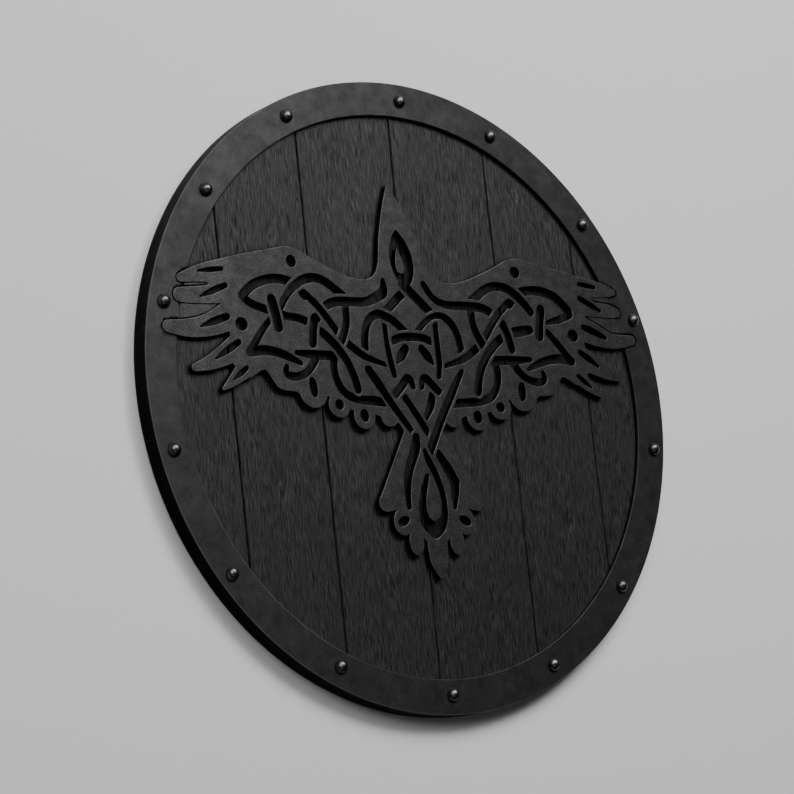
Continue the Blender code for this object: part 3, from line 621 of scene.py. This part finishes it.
CLOSED_FROM, CLOSED_TO = 22.3, 27.5
CLOSED_LOW, CLOSED_HIGH = 17 * MM, 19.42 * MM
CLOSED_GAP = 0.1 * MM
TIP_GROOVE = 0.8 * MM           # open line round each tip
UPPER_GROOVE = Vector((-0.1, 0.7)) * MM  # how much wider it is above a tip
SHADE_REACH = 3.5 * MM           # how far the painted shade reaches on the boards beside the plate
RUB_HIGHLIGHT_SIDE = Vector((-0.8, 0.6))  # edges that face this way are rubbed the most and carry the most painted highlight


def rims_of_node(name, level=None):
    """The closed lines round a solid's flat faces at a level, metal on the left."""
    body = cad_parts[name]
    mesh = body.data
    mesh.calc_loop_triangles()
    spots = [tuple(round(c, 6) for c in body.matrix_world @ v.co) for v in mesh.vertices]
    level = max(s[2] for s in spots) if level is None else level
    sides = set()
    for triangle in mesh.loop_triangles:
        corners = [spots[i] for i in triangle.vertices]
        if all(abs(c[2] - level) < 2e-5 for c in corners):
            flat = [Vector(c[:2]) for c in corners]
            if (flat[1] - flat[0]).cross(flat[2] - flat[0]) < 0:
                corners = corners[::-1]
            sides |= {(corners[i][:2], corners[(i + 1) % 3][:2]) for i in range(3)}
    return chained(sides)


def chained(sides):
    """Join the open sides of some triangles into closed lines."""
    onward = {a: b for a, b in sides if (b, a) not in sides}
    rims = []
    while onward:
        start = here = min(onward)
        rim = []
        while here in onward:
            rim.append(Vector(here))
            here = onward.pop(here)
        rims.append(rim)
    return rims


def softened(rim):
    """A facetted rim redrawn as curves between its true corners."""
    spaced = [p for i, p in enumerate(rim) if (p - rim[i - 1]).length > SAME_CORNER]
    count = len(spaced)
    turns, cuts = [], []
    for i, p in enumerate(spaced):
        before, after = p - spaced[i - 1], spaced[(i + 1) % count] - p
        turn = abs(before.angle_signed(after))
        in_slot = before.cross(after) < 0 and turn < BLUNT_TURN
        cut = 0.0
        if turn >= SHARP_TURN:
            cut = SLOT_ROUND if in_slot else CORNER_ROUND
            cut = min(cut, 0.4 * before.length, 0.4 * after.length)
        turns.append(turn)
        cuts.append(cut)
    points = []
    for i in range(count):
        after = (i + 1) % count
        a, b = spaced[i], spaced[after]
        span = (b - a).length
        lead = (b - spaced[i - 1]) if turns[i] < SHARP_TURN else (b - a)
        tail = (spaced[(i + 2) % count] - a) if turns[after] < SHARP_TURN else (b - a)
        lead, tail = lead.normalized() * span, tail.normalized() * span
        bend = max([turns[k] for k in (i, after) if turns[k] < SHARP_TURN], default=0)
        spacing = POINT_SPACING if bend > 0.06 else 3 * POINT_SPACING
        steps = max(1, math.ceil(span / spacing), math.ceil(bend / 0.22))
        if cuts[i] > 0:
            start = a + (spaced[i - 1] - a).normalized() * cuts[i]
            stop = a + (b - a).normalized() * cuts[i]
            arc = 5 if cuts[i] > MM else 2
            for k in range(arc + 1):
                t = k / arc
                points.append((1 - t) ** 2 * start + 2 * t * (1 - t) * a + t * t * stop)
        else:
            points.append(a)
        for k in range(1, steps):
            t = k / steps
            h1, h2 = 2 * t ** 3 - 3 * t ** 2 + 1, t ** 3 - 2 * t ** 2 + t
            h3, h4 = -2 * t ** 3 + 3 * t ** 2, t ** 3 - t ** 2
            p = h1 * a + h2 * lead + h3 * b + h4 * tail
            if (p - a).length > 1.1 * cuts[i] and (p - b).length > 1.1 * cuts[after]:
                points.append(p)
    return [p for i, p in enumerate(points) if (p - points[i - 1]).length > SAME_POINT]


def offset_rim(rim, distance):
    """The rim moved into the metal on its left."""
    moved = []
    count = len(rim)
    for i, p in enumerate(rim):
        before = (p - rim[i - 1]).normalized()
        after = (rim[(i + 1) % count] - p).normalized()
        first, second = Vector((-before.y, before.x)), Vector((-after.y, after.x))
        miter = first + second
        miter = miter / max(0.35, miter.length_squared / 2)
        moved.append(p + miter * distance)
    return moved


def in_metal(points, rims):
    """Whether each point is inside the pierced outline."""
    points = np.asarray([(p[0], p[1]) for p in points])
    starts = np.asarray([(p.x, p.y) for rim in rims for p in rim])
    ends = np.asarray([(p.x, p.y) for rim in rims for p in rim[1:] + rim[:1]])
    inside = np.zeros(len(points), bool)
    rise = ends[:, 1] - starts[:, 1]
    rise[rise == 0] = 1e-12
    for first in range(0, len(points), 400):
        px = points[first:first + 400, 0][:, None]
        py = points[first:first + 400, 1][:, None]
        spans = (starts[:, 1] > py) != (ends[:, 1] > py)
        across = starts[:, 0] + (py - starts[:, 1]) / rise * (ends[:, 0] - starts[:, 0])
        inside[first:first + 400] = (spans & (px < across)).sum(1) % 2 == 1
    return inside


def plate_face(x, y):
    """Height of the plate's hand-sanded face, which falls off to the tips."""
    low = roll(x * 28, y * 28, 3.0)
    lower = roll(x * 90, y * 90, 6.0)
    out = min(1.0, max(0.0, (math.hypot(x, y) - TIP_START) / (TIP_END - TIP_START)))
    fall = TIP_DROP * out * out * (3 - 2 * out)
    return PLATE_TOP - (0.14 * low + 0.06 * lower) * MM - fall


def make_plate(name, rims):
    """A pierced plate with eased top edges, from the lines round it."""
    verts, faces, edge_wear_highlights = [], [], []

    def ring(rim, heights, wear_highlight):
        """Add the corners of one line and return where they start."""
        start = len(verts)
        verts.extend((p.x, p.y, z) for p, z in zip(rim, heights))
        for i, p in enumerate(rim):
            along = (rim[(i + 1) % len(rim)] - rim[i - 1]).normalized()
            facing = max(0.0, Vector((along.y, -along.x)).dot(RUB_HIGHLIGHT_SIDE))
            edge_wear_highlights.append(wear_highlight * (0.2 + 0.8 * facing))
        return start

    def band(lower, upper, count):
        """Join two lines by a strip of faces."""
        for i in range(count):
            j = (i + 1) % count
            faces.append((lower + i, lower + j, upper + j, upper + i))

    crest, base = [], []
    for rim in rims:
        count = len(rim)
        below = ring(rim, [PLATE_LOW] * count, 0.0)
        base.append(below)
        for angle, wear_highlight in EASE_STEPS:
            turn = math.radians(angle)
            line = offset_rim(rim, EASE * (1 - math.cos(turn)))
            drop = EASE * (1 - math.sin(turn))
            heights = [plate_face(p.x, p.y) - drop for p in line]
            above = ring(line, heights, wear_highlight)
            band(below, above, count)
            below = above
        line = offset_rim(rim, 1.6 * EASE)
        above = ring(line, [plate_face(p.x, p.y) for p in line], 0.0)
        band(below, above, count)
        crest.append((above, line))
    inner = [line for start, line in crest]
    xs = [p.x for rim in rims for p in rim]
    ys = [p.y for rim in rims for p in rim]
    spots = [Vector((x, y)) for x in np.arange(min(xs), max(xs), FACE_SPACING)
             for y in np.arange(min(ys), max(ys), FACE_SPACING)]
    held = in_metal(spots, inner)
    edge_points = np.asarray([(p.x, p.y) for line in inner for p in line])
    spots = [s for s, ok in zip(spots, held) if ok
             and np.min(np.hypot(edge_points[:, 0] - s.x, edge_points[:, 1] - s.y)) > 1.3 * MM]
    fill(verts, faces, edge_wear_highlights, crest, spots, True)
    fill(verts, faces, edge_wear_highlights, list(zip(base, rims)), [], False)
    mesh = bpy.data.meshes.new(name)
    mesh.from_pydata(verts, [], faces)
    rub_highlight = mesh.attributes.new("rub_highlight", "FLOAT", "POINT")
    rub_highlight.data.foreach_set("value", edge_wear_highlights)
    return mesh


def fill(verts, faces, edge_wear_highlights, lines, spots, upper):
    """Close a pierced face with triangles between its rims and some spots."""
    points, owners, edges = [], [], []
    for start, line in lines:
        first = len(points)
        points += line
        owners += range(start, start + len(line))
        edges += [(first + i, first + (i + 1) % len(line)) for i in range(len(line))]
    points += spots
    scale = 1000.0
    corners, _, triangles, origin, _, _ = delaunay_2d_cdt([p * scale for p in points],
                                                         edges, [], 0, 1e-5)
    middles = [sum((corners[i] for i in t), Vector((0, 0))) / 3 / scale for t in triangles]
    kept = in_metal(middles, [line for start, line in lines])
    target = {}
    for t, ok in zip(triangles, kept):
        if not ok:
            continue
        face = []
        for i in t:
            if i not in target:
                known = [owners[o] for o in origin[i] if o < len(owners)]
                if known:
                    target[i] = known[0]
                else:
                    spot = corners[i] / scale
                    height = plate_face(spot.x, spot.y) if upper else PLATE_LOW
                    verts.append((spot.x, spot.y, height))
                    edge_wear_highlights.append(0.0)
                    target[i] = len(verts) - 1
            face.append(target[i])
        if len(set(face)) == 3:
            faces.append(tuple(face) if upper else tuple(face[::-1]))


black_paint, shader = shader_of("raven_paint")
tree = black_paint.node_tree
cloud = stretched_noise(tree, (20, 20, 20), (4, 2, 9), 1.0, 5, 0.6)
blotch = stretched_noise(tree, (110, 110, 110), (1, 8, 2), 1.0, 4, 0.6)
speck = stretched_noise(tree, (850, 850, 850), (3, 3, 1), 1.0, 3, 0.6)
paint = ramp(tree, cloud, [(0.3, (0.0085, 0.0083, 0.0084)), (0.7, (0.0150, 0.0147, 0.0147))])
paint = mixed(tree, "MULTIPLY", 0.8, paint, ramp(tree, speck, [(0.38, 0.45), (0.62, 1.6)]))
paint = mixed(tree, "MULTIPLY", 0.7, paint, ramp(tree, blotch, [(0.35, 0.75), (0.65, 1.25)]))
# edge wear, partly painted highlight: rubbed edges are mixed toward a lighter grey
patchy = mixed(tree, "MULTIPLY", 1.0, marked(tree, "rub_highlight"),
               ramp(tree, blotch, [(0.32, 0.35), (0.62, 1.0)]))
paint = mixed(tree, "MIX", patchy, paint, (0.150, 0.145, 0.140, 1))
# painted shade: the plate's side walls, whose normals point sideways, are darkened and lose their
# gloss
facing = tree.nodes.new("ShaderNodeSeparateXYZ")
own_axes = tree.nodes.new("ShaderNodeTexCoord")
tree.links.new(own_axes.outputs["Normal"], facing.inputs["Vector"])
wall_painted_shade = ramp(tree, facing.outputs["Z"], [(0.35, 0.15), (0.75, 1.0)])
paint = mixed(tree, "MULTIPLY", 1.0, paint, wall_painted_shade)
tree.links.new(paint, shader.inputs["Base Color"])
dull = mixed(tree, "MIX", 0.5, ramp(tree, cloud, [(0.3, 0.52), (0.7, 0.42)]),
             ramp(tree, blotch, [(0.3, 0.50), (0.7, 0.42)]))
tree.links.new(dull, shader.inputs["Roughness"])
gloss = mixed(tree, "MULTIPLY", 0.8, ramp(tree, blotch, [(0.3, 0.36), (0.7, 0.66)]),
              ramp(tree, speck, [(0.38, 0.45), (0.62, 1.5)]))
gloss = mixed(tree, "MULTIPLY", 1.0, gloss, wall_painted_shade)
tree.links.new(gloss, shader.inputs["Specular IOR Level"])
bumped(tree, shader, mixed(tree, "MIX", 0.3, speck, blotch), 0.35, 0.0003)


def near_outline(points, outline, distance):
    """Whether each point is inside an outline or within a distance of it."""
    points = np.asarray([(p[0], p[1]) for p in points])
    near = in_metal(points, [outline])
    starts = np.asarray([(p.x, p.y) for p in outline])
    along = np.roll(starts, -1, axis=0) - starts
    length = (along ** 2).sum(1)
    for i in np.nonzero(~near)[0]:
        out = points[i] - starts
        share = np.clip((out * along).sum(1) / length, 0, 1)[:, None]
        near[i] = ((out - share * along) ** 2).sum(1).min() < distance ** 2
    return near


def grown_prism(outline, distance, low, high):
    """A prism over an outline that has grown outwards by a distance."""
    line = offset_rim(outline, -distance)
    scale = 1000.0
    edges = [(i, (i + 1) % len(line)) for i in range(len(line))]
    corners, _, triangles, _, _, _ = delaunay_2d_cdt([p * scale for p in line], edges, [], 0, 1e-5)
    corners = [corner / scale for corner in corners]
    middles = [(corners[a] + corners[b] + corners[c]) / 3 for a, b, c in triangles]
    kept = [t for t, ok in zip(triangles, near_outline(middles, outline, 0.99 * distance)) if ok]
    shape = bmesh.new()
    lower = {i: shape.verts.new((*corners[i], low)) for t in kept for i in t}
    upper = {i: shape.verts.new((*corners[i], high)) for i in lower}
    sides = {(t[i], t[(i + 1) % 3]) for t in kept for i in range(3)}
    for a, b, c in kept:
        shape.faces.new((upper[a], upper[b], upper[c]))
        shape.faces.new((lower[c], lower[b], lower[a]))
    for a, b in sorted(sides):
        if (b, a) not in sides:
            shape.faces.new((lower[a], lower[b], upper[b], upper[a]))
    return shape


def annulus(inner, outer, low, high):
    """A flat ring with many sides."""
    shape = bmesh.new()
    loops = []
    for radius, height in ((inner, low), (outer, low), (outer, high), (inner, high)):
        loops.append([shape.verts.new((radius * math.cos(2 * math.pi * i / RIM_STEPS),
                                       radius * math.sin(2 * math.pi * i / RIM_STEPS), height))
                      for i in range(RIM_STEPS)])
    for a, b in zip(loops, loops[1:] + loops[:1]):
        for i in range(RIM_STEPS):
            j = (i + 1) % RIM_STEPS
            shape.faces.new((a[i], a[j], b[j], b[i]))
    return shape


def sector(inner, outer, start, stop, low, high):
    """A piece of a flat ring between two angles, degrees."""
    turns = np.radians(np.linspace(start, stop, 25))
    line = [(inner * math.cos(t), inner * math.sin(t)) for t in turns]
    line += [(outer * math.cos(t), outer * math.sin(t)) for t in turns[::-1]]
    shape = bmesh.new()
    lower = [shape.verts.new((*p, low)) for p in line]
    upper = [shape.verts.new((*p, high)) for p in line]
    shape.faces.new(lower)
    shape.faces.new(upper[::-1])
    for i in range(len(line)):
        j = (i + 1) % len(line)
        shape.faces.new((lower[j], lower[i], upper[i], upper[j]))
    bmesh.ops.recalc_face_normals(shape, faces=shape.faces)
    return shape


def make_webs(lines):
    """The webs as one block, level with the fingers on each side."""
    verts, faces, edge_wear_highlights, uppers, lowers = [], [], [], [], []
    for line in lines:
        line = offset_rim(line, -WEB_UNDER)
        count = len(line)
        low, high = len(verts), len(verts) + count
        verts += [(p.x, p.y, PLATE_LOW + 0.05 * MM) for p in line]
        verts += [(p.x, p.y, plate_face(p.x, p.y)) for p in line]
        edge_wear_highlights += [0.0] * 2 * count
        lowers.append((low, line))
        uppers.append((high, line))
        for i in range(count):
            j = (i + 1) % count
            faces.append((low + i, low + j, high + j, high + i))
    outlines = [line for start, line in uppers]
    xs, ys = [p.x for line in outlines for p in line], [p.y for line in outlines for p in line]
    spots = [Vector((x, y)) for x in np.arange(min(xs), max(xs), FACE_SPACING)
             for y in np.arange(min(ys), max(ys), FACE_SPACING)]
    spots = [spot for spot, held in zip(spots, in_metal(spots, outlines)) if held]
    fill(verts, faces, edge_wear_highlights, uppers, spots, True)
    fill(verts, faces, edge_wear_highlights, lowers, [], False)
    mesh = bpy.data.meshes.new("webs")
    mesh.from_pydata(verts, [], faces)
    block = bpy.data.objects.new("webs", mesh)
    bpy.context.collection.objects.link(block)
    return block


def area(line):
    """Twice the signed area inside a closed line."""
    return sum(line[i - 1].cross(p) for i, p in enumerate(line))


raven_rims = [softened(rim) for rim in rims_of_node("raven")]
outline = max(raven_rims, key=area)
raised = [p + UPPER_GROOVE for p in outline]
for line in (outline, raised):
    cut_away(rim_band, grown_prism(line, TIP_GROOVE, POCKET_FLOOR, CUT_HIGH))
# the upper right finger fits its pocket without an open line
closing = sector(CLOSED_IN, CLOSED_OUT, CLOSED_FROM, CLOSED_TO, CLOSED_LOW, CLOSED_HIGH)
closing = loose_body("closing", closing)
cut_away(closing, grown_prism(outline, CLOSED_GAP, CUT_LOW, CUT_HIGH))
joined(rim_band, closing)
tidy_mesh(rim_band.data, 50)

web_block = make_webs(rims_of_node("raven", WEB_TOP))
cut_away(web_block, annulus(WEB_END, BEYOND, CUT_LOW, CUT_HIGH))
for line in (outline, raised):
    cut_away(web_block, grown_prism(line, TIP_GROOVE, POCKET_FLOOR, CUT_HIGH))

plate = placed("raven_plate", make_plate("raven_plate", raven_rims), black_paint, "raven")
cut_away(plate, annulus(TIP_SEAT, BEYOND, CUT_LOW, TIP_UNDER))
joined(plate, web_block)
tidy_mesh(plate.data, 38)

# painted shade: the boards inside the bird and close beside it are darkened where the plate shades
# them
lines = KDTree(sum(len(rim) for rim in raven_rims))
for rim in raven_rims:
    for p in rim:
        lines.insert((p.x, p.y, 0), 0)
lines.balance()
for board in boards:
    spots = [v.co.xy for v in board.data.vertices]
    in_bird = in_metal(spots, [outline])
    painted_shade = board.data.attributes.new("painted_shade", "FLOAT", "POINT")
    for value, spot, within in zip(painted_shade.data, spots, in_bird):
        away = lines.find((*spot, 0))[2] / SHADE_REACH
        value.value = 1.0 if within else max(0.0, 1.0 - away)

# ==== Raven's eye ===========================================================
# A small drop of the same painted board, fixed in the middle of the pierced eye.

drop_rims = [softened(rim) for rim in rims_of_node("raven_eye")]
eye = placed("raven_eye_drop", make_plate("raven_eye_drop", drop_rims), black_paint,
             "raven_eye")
tidy_mesh(eye.data, 38)
